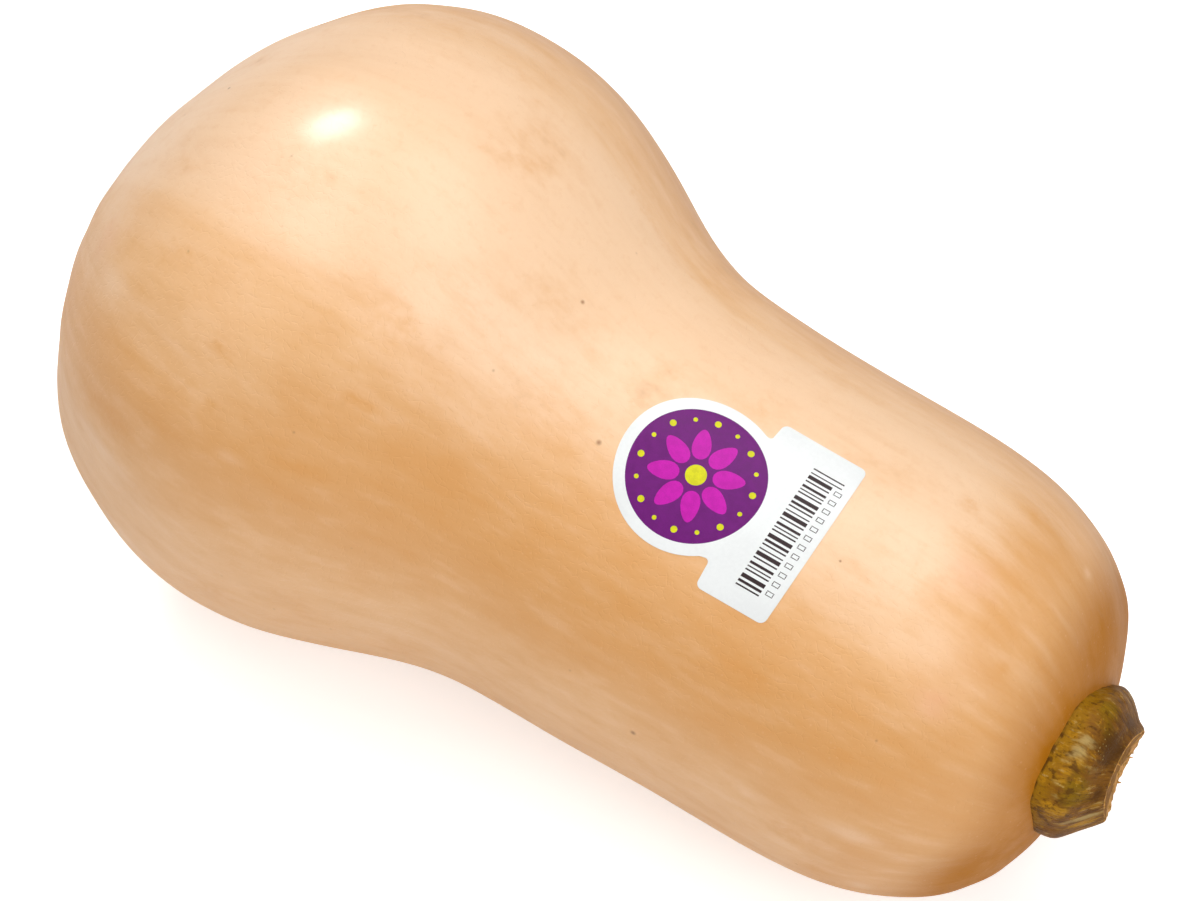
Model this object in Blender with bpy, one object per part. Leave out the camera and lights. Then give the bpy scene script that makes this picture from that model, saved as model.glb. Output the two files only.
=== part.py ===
"""A butternut squash lying on its side: the fruit, its cut stem and a small paper label.

Units are metres, +Z is up and the long axis runs along +X with the stem end at +X.
The fruit's own frame has x along its axis from the blossom end, and an angle round the
axis that starts at +Y and turns through the top.  The whole squash is then laid down on
the low side of its bulb and its neck.
"""
import math

import bmesh
import bpy
from mathutils import Matrix, Vector

MM = 0.001

# Fruit outline: distance along the axis, radius and sideways lean of each control ring, mm.
# The rings are the controls of a uniform cubic B-spline that ends on the axis.
OUTLINE = (
    (0.0, 0.0, -10.5),
    (0.1, 14.7, -6.3),
    (6.3, 30.4, -2.4),
    (14.0, 44.2, -1.0),
    (27.5, 56.2, 2.0),
    (46.1, 62.2, 2.7),
    (65.2, 60.9, 3.8),
    (83.9, 53.0, 3.8),
    (99.6, 45.3, 1.4),
    (119.0, 44.0, 0.2),
    (139.6, 43.2, 1.4),
    (160.3, 43.7, 2.4),
    (179.9, 42.2, 2.6),
    (195.5, 34.0, 2.4),
    (202.4, 23.4, 0.4),
    (206.9, 11.0, -1.0),
    (205.7, 0.0, -2.0),
)
SECTORS = 60
RINGS_PER_SPAN = 3
POLE_RINGS = (0.12, 0.22)

# Ten shallow lobes, deepest at the blossom end and again faintly round the stem.
LOBES = 10
FIRST_VALLEY = math.radians(1.3)
LOBE_DEPTH = 0.6 * MM
LOBE_FADE = (8.0 * MM, 30.0 * MM, 95.0 * MM)
CROWN_LOBE_DEPTH = 0.3 * MM
CROWN_LOBE_FADE = (182.0 * MM, 198.0 * MM)

# Broad swells and hollows of the skin: middle in the fruit's own frame, size and height, mm.
SWELLS = (
    (38.7, 51.6, 32.6, 15.0, 0.5),
    (29.7, 41.8, 38.7, 8.0, 0.15),
    (18.7, 29.2, 38.0, 11.0, -0.45),
    (4.3, 2.9, 23.6, 10.0, 0.3),
    (1.6, -12.1, 15.7, 6.0, -0.15),
    (1.5, -19.0, 10.3, 7.0, -0.4),
    (3.0, -25.7, 4.7, 9.0, -0.5),
    (28.3, -50.6, -18.0, 11.0, -0.3),
    (106.5, 40.2, 22.6, 14.0, -0.3),
    (197.4, -24.6, -14.9, 8.0, 0.25),
    (202.6, -17.1, -12.4, 6.0, 0.45),
    (196.7, 30.0, 12.9, 8.0, 0.4),
    (189.3, 35.1, 17.0, 8.0, 0.2),
)
SWELL_CORE = (45.0, 165.0)

# The blossom scar is a shallow dish in the skin with a low button at its middle.
SCAR_DISH_RADIUS = 9.0 * MM
SCAR_DISH_DEPTH = 1.1 * MM
SCAR_BUTTON_RADIUS = 2.6 * MM
SCAR_BUTTON_HEIGHT = 0.7 * MM

# The squash rests on two small flats, cut this far above its lowest points.
REST_CUT = 0.5 * MM
WAIST = 120.0 * MM
TILT_STEPS = 12

# The stem stands off the axis, toward this direction round the fruit.
STEM_SIDE = math.radians(29.3)
STEM_FACE = math.radians(119.3)
# Distance along the axis, offset to the side and to the face, half width, lean in degrees.
STEM_STATIONS = (
    (199.0, 3.8, 8.9, 14.0, 4.0),
    (203.4, 3.9, 8.9, 14.4, 4.0),
    (206.2, 4.5, 8.9, 14.8, 4.0),
    (208.5, 4.5, 8.8, 14.1, 3.5),
    (210.5, 4.7, 8.7, 12.3, 3.5),
    (212.0, 5.3, 8.6, 10.7, 6.0),
    (213.5, 6.05, 8.5, 9.3, 8.4),
    (213.9, 6.2, 8.45, 8.8, 9.0),
)
STEM_SECTORS = 40
STEM_RIDGES = 5
STEM_RIDGE = 0.035
STEM_RIDGE_PHASE = math.radians(90.0)
STEM_TIP_SHARE = -0.2
CUT_SAG = 1.05 * MM
CUT_SAG_RISE = (209.0, 213.5)
CUT_DISH = 0.5 * MM
CUT_DISH_SHARE = 0.72

# The label is a disc joined to a tab, measured along the axis and round the neck, mm.
# The tab's two ends start and reach differently on its low and high side round the neck.
LABEL_ANGLE = math.radians(108.0)
LABEL_GIRTH_RADIUS = 43.6 * MM
DISC_CENTRE = (125.6, -0.65)
DISC_RADIUS = 14.45
TAB_START = {-1: 132.9, 1: 136.0}
TAB_REACH = {-1: 17.35, 1: 16.85}
TAB_END = 149.7
TAB_CORNER = 1.2
TAB_BOW = 0.5
TAB_BOW_START = 130.0
LABEL_THICK = 0.3 * MM
LABEL_COLUMNS = 9
DISC_STATIONS = 16

GAP = 0.3 * MM


def clear_scene():
    for ob in list(bpy.data.objects):
        bpy.data.objects.remove(ob, do_unlink=True)


def smoothstep(low, high, value):
    share = min(max((value - low) / (high - low), 0.0), 1.0)
    return share * share * (3.0 - 2.0 * share)


def outline_at(t):
    """Return axis distance, radius and lean at spline parameter t, in metres."""
    last = len(OUTLINE) - 1
    span = min(int(t), last - 1)
    f = t - span
    weights = (
        (1.0 - f) ** 3 / 6.0,
        (3.0 * f ** 3 - 6.0 * f ** 2 + 4.0) / 6.0,
        (-3.0 * f ** 3 + 3.0 * f ** 2 + 3.0 * f + 1.0) / 6.0,
        f ** 3 / 6.0,
    )
    total = [0.0, 0.0, 0.0]
    for step, weight in zip(range(span - 1, span + 3), weights):
        ring = step
        mirror = 1.0
        if step < 0:
            ring = 1
            mirror = -1.0
        if step > last:
            ring = last - 1
            mirror = -1.0
        along, radius, lean = OUTLINE[ring]
        total[0] += weight * along
        total[1] += weight * radius * mirror
        total[2] += weight * lean
    return total[0] * MM, total[1] * MM, total[2] * MM


def outline_near(along):
    """Return radius and lean where the side of the fruit passes an axis distance."""
    low = 1.0
    high = len(OUTLINE) - 3.0
    for _ in range(40):
        middle = 0.5 * (low + high)
        if outline_at(middle)[0] < along:
            low = middle
        else:
            high = middle
    return outline_at(0.5 * (low + high))[1:]


def lobe_depth(along, angle):
    start, full, end = LOBE_FADE
    depth = LOBE_DEPTH * smoothstep(0.0, start, along) * (1.0 - smoothstep(full, end, along))
    depth += CROWN_LOBE_DEPTH * smoothstep(CROWN_LOBE_FADE[0], CROWN_LOBE_FADE[1], along)
    wave = 0.5 + 0.5 * math.cos(LOBES * (angle - FIRST_VALLEY))
    return depth * wave * wave


def scar_depth(distance):
    dish = SCAR_DISH_DEPTH * (1.0 - smoothstep(0.0, SCAR_DISH_RADIUS, distance))
    button = SCAR_BUTTON_HEIGHT * (1.0 - smoothstep(0.0, SCAR_BUTTON_RADIUS, distance))
    return dish - button


def swell(point):
    """Move of a skin point by the swells, away from the core line of the fruit."""
    core = min(max(point.x, SWELL_CORE[0] * MM), SWELL_CORE[1] * MM)
    height = 0.0
    for x, y, z, size, rise in SWELLS:
        away = (point - Vector((x, y, z)) * MM).length / (size * MM)
        height += rise * MM * math.exp(-2.0 * away * away)
    return (point - Vector((core, 0.0, 0.0))).normalized() * height


def fruit_point(t, angle):
    along, radius, lean = outline_at(t)
    if t < 2.0:
        along += scar_depth(radius)
    if radius > 0.0:
        radius -= min(lobe_depth(along, angle), 0.1 * radius)
    point = Vector((along, radius * math.cos(angle) + lean, radius * math.sin(angle)))
    return point + swell(point)


def rest_tilt():
    """Angle that brings the low side of the bulb and of the neck to one level."""
    last = len(OUTLINE) - 1
    samples = [outline_at(last * k / 400.0) for k in range(401)]
    tilt = 0.0
    for _ in range(TILT_STEPS):
        rise = math.tan(tilt)
        bulb = max((s for s in samples if s[0] < WAIST), key=lambda s: s[1] + s[0] * rise)
        neck = max((s for s in samples if s[0] > WAIST), key=lambda s: s[1] + s[0] * rise)
        tilt = math.atan2(bulb[1] - neck[1], neck[0] - bulb[0])
    return tilt


def new_object(name, bm, material):
    bmesh.ops.recalc_face_normals(bm, faces=bm.faces)
    mesh = bpy.data.meshes.new(name)
    bm.to_mesh(mesh)
    bm.free()
    mesh.materials.append(material)
    for polygon in mesh.polygons:
        polygon.use_smooth = True
    mesh.set_sharp_from_angle(angle=math.radians(40.0))
    ob = bpy.data.objects.new(name, mesh)
    bpy.context.scene.collection.objects.link(ob)
    return ob


def material(name, colour, roughness):
    mat = bpy.data.materials.new(name)
    mat.use_nodes = True
    shader = mat.node_tree.nodes["Principled BSDF"]
    shader.inputs["Base Color"].default_value = (*colour, 1.0)
    shader.inputs["Roughness"].default_value = roughness
    shader.inputs["Metallic"].default_value = 0.0
    return mat


def bridge(bm, lower, upper):
    count = len(lower)
    for k in range(count):
        nxt = (k + 1) % count
        bm.faces.new((lower[k], lower[nxt], upper[nxt], upper[k]))


def fan(bm, tip, ring):
    count = len(ring)
    for k in range(count):
        bm.faces.new((tip, ring[k], ring[(k + 1) % count]))


def fruit_mesh(grow):
    """Closed skin of rings round the axis with a point at each end, moved out by grow."""
    last = len(OUTLINE) - 1
    steps = [k / RINGS_PER_SPAN for k in range(1, last * RINGS_PER_SPAN)]
    bm = bmesh.new()
    rings = []
    for t in list(POLE_RINGS) + steps:
        ring = []
        for k in range(SECTORS):
            angle = FIRST_VALLEY + 2.0 * math.pi * k / SECTORS
            ring.append(bm.verts.new(fruit_point(t, angle)))
        rings.append(ring)
    for lower, upper in zip(rings, rings[1:]):
        bridge(bm, lower, upper)
    fan(bm, bm.verts.new(fruit_point(0.0, 0.0)), rings[0])
    fan(bm, bm.verts.new(fruit_point(float(last), 0.0)), rings[-1])
    bmesh.ops.recalc_face_normals(bm, faces=bm.faces)
    if grow > 0.0:
        bm.normal_update()
        moves = [(vert, vert.normal * grow) for vert in bm.verts]
        for vert, move in moves:
            vert.co += move
    return bm


def lay_down(bm, tilt):
    turn = Matrix.Rotation(tilt, 4, "Y")
    bmesh.ops.transform(bm, matrix=turn, verts=bm.verts)


def cut_flats(bm, level):
    geometry = list(bm.verts) + list(bm.edges) + list(bm.faces)
    bmesh.ops.bisect_plane(
        bm,
        geom=geometry,
        dist=0.01 * MM,
        plane_co=(0.0, 0.0, level),
        plane_no=(0.0, 0.0, -1.0),
        clear_outer=True,
    )
    rim = [edge for edge in bm.edges if edge.is_boundary]
    bmesh.ops.holes_fill(bm, edges=rim, sides=0)


def make_fruit(tilt):
    """Build the fruit laid down, and return it with the height of its rest flats."""
    bm = fruit_mesh(0.0)
    lay_down(bm, tilt)
    level = min(vert.co.z for vert in bm.verts) + REST_CUT
    cut_flats(bm, level)
    skin = material("squash_skin", (0.89, 0.60, 0.34), 0.35)
    return new_object("fruit", bm, skin), level


def stem_ring(bm, station, share, sink):
    """One ridged ring of the stem, scaled by share and sunk along its own axis."""
    along, side, face, half, lean = station
    centre = Vector((along, 0.0, 0.0)) * MM
    side_dir = Vector((0.0, math.cos(STEM_SIDE), math.sin(STEM_SIDE)))
    face_dir = Vector((0.0, math.cos(STEM_FACE), math.sin(STEM_FACE)))
    centre += side_dir * (side * MM) + face_dir * (face * MM)
    turn = Matrix.Rotation(math.radians(lean), 3, face_dir)
    turn = turn @ Matrix.Rotation(math.radians(lean) * STEM_TIP_SHARE, 3, side_dir)
    normal = turn @ Vector((1.0, 0.0, 0.0))
    sag = CUT_SAG * share * share * smoothstep(CUT_SAG_RISE[0], CUT_SAG_RISE[1], along)
    ring = []
    for k in range(STEM_SECTORS):
        angle = 2.0 * math.pi * k / STEM_SECTORS
        ridge = 1.0 + STEM_RIDGE * math.cos(STEM_RIDGES * angle + STEM_RIDGE_PHASE)
        radius = half * MM * share * ridge
        spoke = side_dir * math.cos(angle) + face_dir * math.sin(angle)
        low = sink + sag * math.sin(angle) ** 2
        ring.append(bm.verts.new(centre + turn @ (spoke * radius) - normal * low))
    return ring, centre - normal * sink


def make_stem(tilt):
    """Build the swollen stem with its cut end, shaped to the crown under it."""
    bm = bmesh.new()
    rings = []
    for station in STEM_STATIONS:
        ring, centre = stem_ring(bm, station, 1.0, 0.0)
        rings.append((ring, centre))
    rings.append(stem_ring(bm, STEM_STATIONS[-1], CUT_DISH_SHARE, CUT_DISH))
    for lower, upper in zip(rings, rings[1:]):
        bridge(bm, lower[0], upper[0])
    fan(bm, bm.verts.new(rings[0][1]), rings[0][0])
    fan(bm, bm.verts.new(rings[-1][1]), rings[-1][0])
    lay_down(bm, tilt)
    stem = new_object("stem", bm, material("stem_cork", (0.20, 0.12, 0.035), 0.6))

    crown = fruit_mesh(GAP)
    lay_down(crown, tilt)
    cutter = new_object("crown_cutter", crown, stem.active_material)
    cut = stem.modifiers.new("seat_on_crown", "BOOLEAN")
    cut.operation = "DIFFERENCE"
    cut.solver = "EXACT"
    cut.object = cutter
    cutter.hide_render = True
    cutter.display_type = "WIRE"
    return stem, cutter


def label_reach(along, side):
    """Distance from the disc's middle line to the label's edge on one side, mm."""
    centre = DISC_CENTRE[0]
    if along < TAB_START[side]:
        return math.sqrt(max(DISC_RADIUS ** 2 - (along - centre) ** 2, 0.0))
    inside = min(along - TAB_START[side], TAB_END - along, TAB_CORNER)
    inset = TAB_CORNER - math.sqrt(TAB_CORNER ** 2 - (TAB_CORNER - inside) ** 2)
    return TAB_REACH[side] - inset


def label_stations():
    """Axis distances of the label's rows: closer at the disc's end and at the corners."""
    centre = DISC_CENTRE[0]
    first = min(TAB_START.values())
    turns = [math.pi * (k + 0.4) / DISC_STATIONS for k in range(DISC_STATIONS)]
    rows = [centre - DISC_RADIUS * math.cos(turn) for turn in turns]
    rows = [along for along in rows if along < first - 0.5]
    for start in TAB_START.values():
        rows += [start - 0.1, start + 0.15, start + 0.5, start + TAB_CORNER]
    rows += [0.5 * (max(TAB_START.values()) + TAB_END), TAB_END - TAB_CORNER, TAB_END - 0.4, TAB_END - 0.05]
    return sorted(rows)


def label_point(along, around, lift):
    share = min(abs(around - DISC_CENTRE[1]) / TAB_REACH[1], 1.0)
    along += TAB_BOW * smoothstep(TAB_BOW_START, TAB_END, along) * (1.0 - share * share)
    radius, lean = outline_near(along * MM)
    angle = LABEL_ANGLE + around * MM / LABEL_GIRTH_RADIUS
    radius += lift
    return Vector((along * MM, radius * math.cos(angle) + lean, radius * math.sin(angle)))


def make_label(tilt):
    """Build the label as a closed sheet that follows the skin of the neck."""
    bm = bmesh.new()
    sheets = []
    for lift in (GAP, GAP + LABEL_THICK):
        rows = []
        for along in label_stations():
            low = DISC_CENTRE[1] - label_reach(along, -1)
            high = DISC_CENTRE[1] + label_reach(along, 1)
            row = []
            for k in range(LABEL_COLUMNS + 1):
                around = low + (high - low) * k / LABEL_COLUMNS
                row.append(bm.verts.new(label_point(along, around, lift)))
            rows.append(row)
        for row, nxt in zip(rows, rows[1:]):
            for k in range(LABEL_COLUMNS):
                bm.faces.new((row[k], row[k + 1], nxt[k + 1], nxt[k]))
        rim = list(rows[0])
        rim += [row[-1] for row in rows[1:]]
        rim += list(reversed(rows[-1][:-1]))
        rim += [row[0] for row in reversed(rows[1:-1])]
        sheets.append(rim)
    bridge(bm, sheets[0], sheets[1])
    lay_down(bm, tilt)
    return new_object("label", bm, material("label_paper", (0.84, 0.85, 0.85), 0.4))


def centre_on_origin(objects, cutter, level):
    """Put the rest flats on the ground and the middle of the footprint on the origin."""
    bpy.context.view_layer.update()
    graph = bpy.context.evaluated_depsgraph_get()
    points = []
    for ob in objects:
        points += [vert.co.copy() for vert in ob.evaluated_get(graph).data.vertices]
    middle_x = 0.5 * (min(p.x for p in points) + max(p.x for p in points))
    middle_y = 0.5 * (min(p.y for p in points) + max(p.y for p in points))
    shift = Matrix.Translation((-middle_x, -middle_y, -level))
    for ob in objects + [cutter]:
        ob.data.transform(shift)


def main():
    clear_scene()
    tilt = rest_tilt()
    fruit, level = make_fruit(tilt)
    stem, cutter = make_stem(tilt)
    label = make_label(tilt)
    centre_on_origin([fruit, stem, label], cutter, level)


main()
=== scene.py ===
"""Looks for a butternut squash lying on its side: waxy skin, corky cut stem and a small label."""
import math

import bpy
import numpy as np
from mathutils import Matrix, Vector
from mathutils.geometry import delaunay_2d_cdt


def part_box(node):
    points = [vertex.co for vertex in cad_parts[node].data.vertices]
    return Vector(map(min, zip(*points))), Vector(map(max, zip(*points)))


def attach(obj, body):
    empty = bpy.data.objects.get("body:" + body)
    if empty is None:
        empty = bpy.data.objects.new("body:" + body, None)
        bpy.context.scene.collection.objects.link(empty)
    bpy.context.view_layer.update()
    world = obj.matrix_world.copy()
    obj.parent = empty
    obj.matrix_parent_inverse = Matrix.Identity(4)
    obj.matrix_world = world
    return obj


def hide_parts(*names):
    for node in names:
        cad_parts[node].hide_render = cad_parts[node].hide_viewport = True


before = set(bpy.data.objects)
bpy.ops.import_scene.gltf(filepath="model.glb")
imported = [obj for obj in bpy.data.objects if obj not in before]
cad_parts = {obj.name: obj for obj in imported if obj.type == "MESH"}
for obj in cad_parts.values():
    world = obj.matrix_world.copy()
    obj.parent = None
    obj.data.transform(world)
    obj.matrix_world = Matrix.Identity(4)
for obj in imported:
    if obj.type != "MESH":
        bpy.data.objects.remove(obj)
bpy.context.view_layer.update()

bl_info = {
    "name": "Butternut squash",
    "version": (1, 0, 0),
    "blender": (4, 5, 0),
    "location": "View3D > Sidebar > Squash",
    "description": "Makes the skin, stem and label of a butternut squash, and its stage",
    "category": "Object",
}

MM = 0.001

# Control rings of the fruit's outline: distance along the axis, radius, sideways lean, in mm.
OUTLINE = np.array((
    (0.0, 0.0, -10.5),
    (0.1, 14.7, -6.3),
    (6.3, 30.4, -2.4),
    (14.0, 44.2, -1.0),
    (27.5, 56.2, 2.0),
    (46.1, 62.2, 2.7),
    (65.2, 60.9, 3.8),
    (83.9, 53.0, 3.8),
    (99.6, 45.3, 1.4),
    (119.0, 44.0, 0.2),
    (139.6, 43.2, 1.4),
    (160.3, 43.7, 2.4),
    (179.9, 42.2, 2.6),
    (195.5, 34.0, 2.4),
    (202.4, 23.4, 0.4),
    (206.9, 11.0, -1.0),
    (205.7, 0.0, -2.0),
))
LAST = len(OUTLINE) - 1
WAIST = 120.0
REST_CUT = 0.5

# Broad swells and hollows of the skin: middle in the fruit's own frame, size and height, mm.
SWELLS = (
    (38.7, 51.6, 32.6, 15.0, 0.5),
    (29.7, 41.8, 38.7, 8.0, 0.15),
    (18.7, 29.2, 38.0, 11.0, -0.45),
    (4.3, 2.9, 23.6, 10.0, 0.3),
    (1.6, -12.1, 15.7, 6.0, -0.15),
    (1.5, -19.0, 10.3, 7.0, -0.4),
    (3.0, -25.7, 4.7, 9.0, -0.5),
    (28.3, -50.6, -18.0, 11.0, -0.3),
    (106.5, 40.2, 22.6, 14.0, -0.3),
    (197.4, -24.6, -14.9, 8.0, 0.25),
    (202.6, -17.1, -12.4, 6.0, 0.45),
    (196.7, 30.0, 12.9, 8.0, 0.4),
    (189.3, 35.1, 17.0, 8.0, 0.2),
)
SWELL_CORE = (45.0, 165.0)

LOBES = 10
FIRST_VALLEY = math.radians(1.3)

STEM_SIDE = math.radians(29.3)
STEM_FACE = math.radians(119.3)
# Distance along the axis, offset to the side and to the face, half width (mm), lean in degrees.
STEM_STATIONS = np.array((
    (199.0, 3.8, 8.9, 14.0, 4.0),
    (203.4, 3.9, 8.9, 14.4, 4.0),
    (206.2, 4.5, 8.9, 14.8, 4.0),
    (208.5, 4.5, 8.8, 14.1, 3.5),
    (210.5, 4.7, 8.7, 12.3, 3.5),
    (212.0, 5.3, 8.6, 10.7, 6.0),
    (213.5, 6.05, 8.5, 9.3, 8.4),
    (213.9, 6.2, 8.45, 8.8, 9.0),
))
STEM_TIP_SHARE = -0.2
CUT_SAG = 1.05

LABEL_ANGLE = math.radians(108.0)
LABEL_GIRTH_RADIUS = 43.6
DISC_CENTRE = (125.6, -0.65)
DISC_RADIUS = 14.45
TAB_START = {-1: 132.9, 1: 136.0}
TAB_REACH = {-1: 17.35, 1: 16.85}
TAB_END = 149.7
TAB_CORNER = 1.2
TAB_BOW = 0.5
TAB_BOW_START = 130.0

VIEW_AZIMUTH = math.radians(32.86)
VIEW_ELEVATION = math.radians(54.22)
VIEW_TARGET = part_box("fruit")[0] + Vector((103.06, 59.62, 59.5)) * MM


def srgb(red, green, blue):
    """Linear colour from the 0 to 255 values of a colour chart."""
    values = []
    for value in (red, green, blue):
        share = value / 255.0
        values.append(share / 12.92 if share <= 0.04045 else ((share + 0.055) / 1.055) ** 2.4)
    return tuple(values)


def colour_property(name, description, default):
    return bpy.props.FloatVectorProperty(
        name=name, description=description, default=default, size=3, min=0.0, max=1.0, subtype="COLOR"
    )


def length_property(name, description, default):
    return bpy.props.FloatProperty(
        name=name, description=description, default=default, min=0.0, subtype="DISTANCE", unit="LENGTH"
    )


class SquashSizes(bpy.types.PropertyGroup):
    """Sizes of the squash's finer forms."""

    lobe_depth: length_property("Lobe depth", "Depth of the valleys between the lobes", 0.6 * MM)
    crown_lobe_depth: length_property("Crown lobe depth", "Depth of the creases round the stem", 0.45 * MM)
    skin_relief: length_property("Skin relief", "Height of the soft unevenness of the skin", 0.16 * MM)
    stem_relief: length_property("Stem relief", "Height of the cork ridges on the stem", 0.45 * MM)
    label_lift: length_property("Label thickness", "Thickness of the paper label", 0.13 * MM)


class SquashColours(bpy.types.PropertyGroup):
    """Colours of the squash's surfaces."""

    # This palest tone also paints the sheen along the top side and at the lower left edge.
    skin_pale_and_sheen: colour_property("Pale skin", "The lightest peach of the skin", srgb(249, 210, 172))
    skin_peach: colour_property("Peach skin", "The usual colour of the skin", srgb(241, 191, 139))
    skin_orange: colour_property("Orange skin", "Orange streaks and patches", srgb(226, 161, 92))
    skin_tan: colour_property("Tan skin", "The deep tan round the stem", srgb(184, 114, 8))
    # Painted shade: this darker, warmer tone stands for the shade on the sides and the low side; near the
    # crown it is the skin's own warmer tone.
    skin_side_shade_and_warmth: colour_property("Low side", "The warmer skin of the sides and low side", srgb(226, 166, 103))
    skin_blush: colour_property("Blush", "Pinkish blush on the skin", srgb(238, 172, 134))
    speck: colour_property("Specks", "Small dark marks on the skin", srgb(150, 96, 60))
    scar: colour_property("Blossom scar", "Corky scar at the blossom end", srgb(186, 146, 98))
    stem_brown: colour_property("Brown cork", "The stem's main colour", srgb(126, 80, 18))
    stem_olive: colour_property("Olive cork", "Olive patches on the stem", srgb(136, 100, 2))
    stem_foot: colour_property("Foot", "The warm foot of the stem", srgb(158, 112, 12))
    stem_gold: colour_property("Gold", "Amber patches on the stem", srgb(190, 136, 20))
    # This pale tone also paints a highlight on the stem.
    stem_pale_and_highlight: colour_property("Pale cork", "Pale streaks and spots on the stem", srgb(188, 160, 98))
    stem_dark: colour_property("Dark cork", "Dark brown on the stem", srgb(84, 50, 3))
    stem_cut: colour_property("Cut wood", "The stem's raw cut end", srgb(224, 166, 98))
    paper: colour_property("Label paper", "White coated paper", srgb(240, 242, 241))
    print_purple: colour_property("Purple print", "The label's round field", srgb(108, 8, 114))
    print_magenta: colour_property("Magenta print", "The label's petals", srgb(196, 10, 170))
    print_lime: colour_property("Lime print", "The label's dots", srgb(216, 212, 22))
    print_dark: colour_property("Dark print", "The label's bars", srgb(52, 36, 38))


def sizes():
    return bpy.context.scene.squash_sizes


def colours():
    return bpy.context.scene.squash_colours


# Shapes


def smoothstep(low, high, value):
    share = np.clip((value - low) / (high - low), 0.0, 1.0)
    return share * share * (3.0 - 2.0 * share)


def outline_at(t):
    """Axis distance, radius and lean in mm at an array of spline parameters."""
    mirror = np.array((1.0, -1.0, 1.0))
    rings = np.vstack([OUTLINE[1] * mirror, OUTLINE, OUTLINE[-2] * mirror])
    t = np.asarray(t, float)
    span = np.minimum(t.astype(int), LAST - 1)
    f = (t - span)[:, None]
    total = rings[span] * (1.0 - f) ** 3 / 6.0
    total += rings[span + 1] * (3.0 * f ** 3 - 6.0 * f ** 2 + 4.0) / 6.0
    total += rings[span + 2] * (-3.0 * f ** 3 + 3.0 * f ** 2 + 3.0 * f + 1.0) / 6.0
    total += rings[span + 3] * f ** 3 / 6.0
    return total[:, 0], total[:, 1], total[:, 2]


SAMPLES = outline_at(np.linspace(0.0, LAST, 801))


def rest_tilt():
    """Angle that brings the low side of the bulb and of the neck to one level."""
    along, radius, _ = SAMPLES
    tilt = 0.0
    for _ in range(12):
        reach = radius + along * math.tan(tilt)
        bulb = int(np.argmax(np.where(along < WAIST, reach, -1.0)))
        neck = int(np.argmax(np.where(along > WAIST, reach, -1.0)))
        tilt = math.atan2(radius[bulb] - radius[neck], along[neck] - along[bulb])
    return tilt


TILT = rest_tilt()


def turned(points):
    """Points in mm in the fruit's own frame, turned to lie down."""
    c, s = math.cos(TILT), math.sin(TILT)
    x, y, z = points[..., 0], points[..., 1], points[..., 2]
    return np.stack([x * c + z * s, y, -x * s + z * c], axis=-1)


def lattice_noise(points, cell, seed):
    """Smooth noise from -1 to 1 at an array of points, with cells of the given size."""
    table = np.random.default_rng(seed).uniform(-1.0, 1.0, (32, 32, 32))
    place = points / np.asarray(cell, float)
    base = np.floor(place).astype(int)
    f = place - base
    f = f * f * (3.0 - 2.0 * f)
    total = np.zeros(points.shape[:-1])
    for corner in np.ndindex(2, 2, 2):
        index = (base + corner) % 32
        weight = np.prod(np.where(np.array(corner) == 1, f, 1.0 - f), axis=-1)
        total += weight * table[index[..., 0], index[..., 1], index[..., 2]]
    return total


def lobe_depth(along, angle):
    group = sizes()
    depth = group.lobe_depth / MM * smoothstep(0.0, 8.0, along) * (1.0 - smoothstep(30.0, 95.0, along))
    depth = depth + group.crown_lobe_depth / MM * smoothstep(180.0, 198.0, along)
    wave = 0.5 + 0.5 * np.cos(LOBES * (angle - FIRST_VALLEY))
    return depth * wave * wave


def scar_depth(distance):
    dish = 1.1 * (1.0 - smoothstep(0.0, 9.0, distance))
    button = 0.7 * (1.0 - smoothstep(1.2, 2.9, distance))
    return dish - button


def fruit_points(t, angle):
    """Skin points in mm in the fruit's own frame, for a grid of parameters and angles."""
    along, radius, lean = outline_at(t)
    along = along + np.where(t < 2.0, scar_depth(radius), 0.0)
    along = np.repeat(along[:, None], len(angle), axis=1)
    radius = np.repeat(radius[:, None], len(angle), axis=1)
    turn = np.repeat(angle[None, :], len(t), axis=0)
    radius = radius - np.minimum(lobe_depth(along, turn), 0.1 * radius)
    points = np.stack([along, radius * np.cos(turn) + lean[:, None], radius * np.sin(turn)], axis=-1)
    return points + swell(points)


def swell(points):
    """Move of the skin points by the swells, away from the core line of the fruit."""
    core = np.zeros_like(points)
    core[..., 0] = np.clip(points[..., 0], *SWELL_CORE)
    height = np.zeros(points.shape[:-1])
    for x, y, z, size, rise in SWELLS:
        away = np.linalg.norm(points - np.array((x, y, z)), axis=-1) / size
        height += rise * np.exp(-2.0 * away * away)
    out = points - core
    return out / np.linalg.norm(out, axis=-1, keepdims=True) * height[..., None]


def skin_relief(points):
    """Soft unevenness of the skin in mm: long low swellings and a finer ripple."""
    stretched = lattice_noise(points, (34.0, 13.0, 13.0), 11)
    finer = lattice_noise(points, (9.0, 5.0, 5.0), 12)
    return sizes().skin_relief / MM * (stretched + 0.35 * finer)


def frame_shift(low_points):
    """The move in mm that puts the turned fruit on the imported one."""
    low, high = (np.array(corner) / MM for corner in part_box("fruit"))
    mine_low = low_points.min(axis=0)
    mine_high = low_points.max(axis=0)
    middle = 0.5 * (low[1] + high[1] - mine_low[1] - mine_high[1])
    return np.array((low[0] - mine_low[0], middle, -mine_low[2] - REST_CUT))


def plain_shift():
    """The same move, from the fruit's smooth outline without its relief."""
    t = np.linspace(0.0, LAST, 400)
    grid = fruit_points(t, np.linspace(0.0, 2.0 * math.pi, 240, endpoint=False))
    return frame_shift(turned(grid).reshape(-1, 3))


def outline_near(along):
    """Radius and lean in mm where the side of the fruit passes the axis distances."""
    side = slice(60, 740)
    radius = np.interp(along, SAMPLES[0][side], SAMPLES[1][side])
    lean = np.interp(along, SAMPLES[0][side], SAMPLES[2][side])
    return radius, lean


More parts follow.
